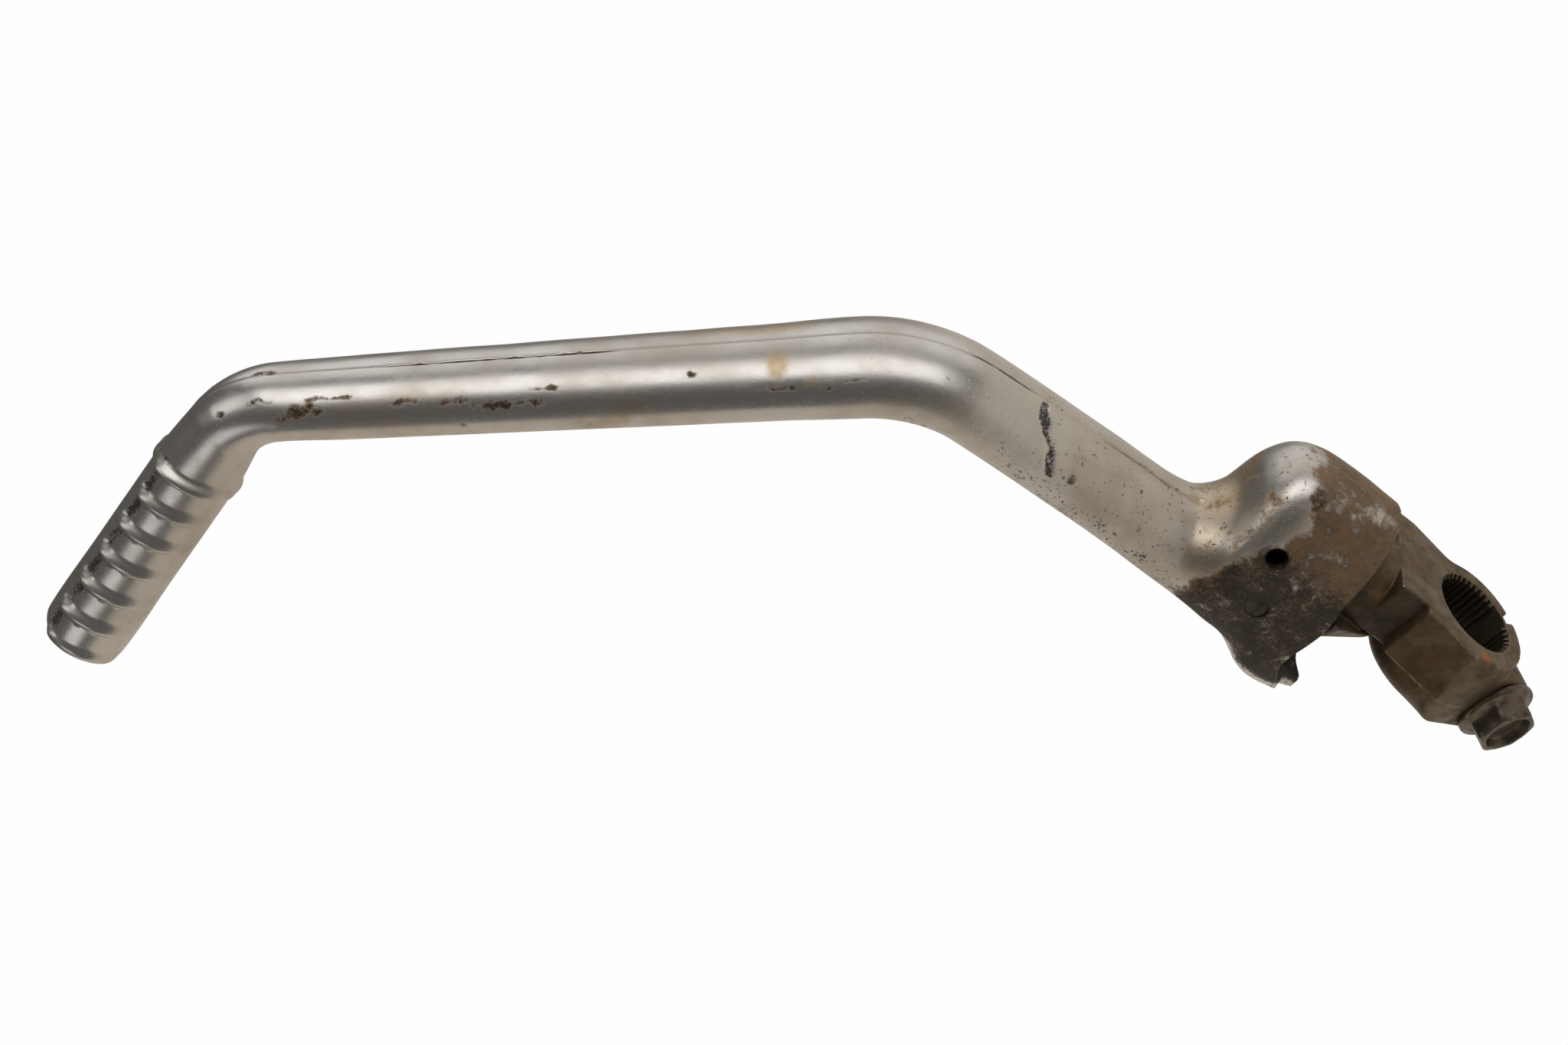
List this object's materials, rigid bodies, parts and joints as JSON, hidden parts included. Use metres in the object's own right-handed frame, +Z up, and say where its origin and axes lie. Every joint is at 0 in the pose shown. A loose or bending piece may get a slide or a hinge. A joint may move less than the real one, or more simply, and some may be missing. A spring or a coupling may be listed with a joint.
{
  "type": "kick start lever",
  "caption": "Hollow pressed-steel kick start lever with a ribbed foot piece, which folds on the post of a splined clamp hub held by a flanged pinch bolt.",
  "frame": {"origin": "on the splined bore's axis, halfway along the boss, where the axis of the post crosses it", "axes": "+X out along the kick shaft, away from the engine; +Z up along the post that the lever folds on; +Y square to the lever's mid-plane"},
  "size_m": [0.2151, 0.0363, 0.2554],
  "materials": {
    "lever_plating": "worn satin plating",
    "sleeve_steel": "greasy machined steel",
    "pin_steel": "dull plated steel",
    "hub_steel": "worn plated forging",
    "bolt_steel": "dull plated steel",
    "ball_steel": "polished",
    "spring_steel": "bright wire"
  },
  "bodies": {
    "hub": {"hub": "hub_steel", "pinch_bolt": "bolt_steel", "detent_ball": "ball_steel", "detent_spring": "spring_steel"},
    "lever": {"lever_front_half": "lever_plating", "lever_rear_half": "lever_plating", "bearing_sleeve": "sleeve_steel", "retaining_pin": "pin_steel"}
  },
  "joints": [
    {"name": "lever_fold", "type": "hinge", "parent": "hub", "child": "lever", "pos_m": [0, 0, 0.042], "axis": [0, 0, 1], "range_deg": [0, 95]}
  ]
}
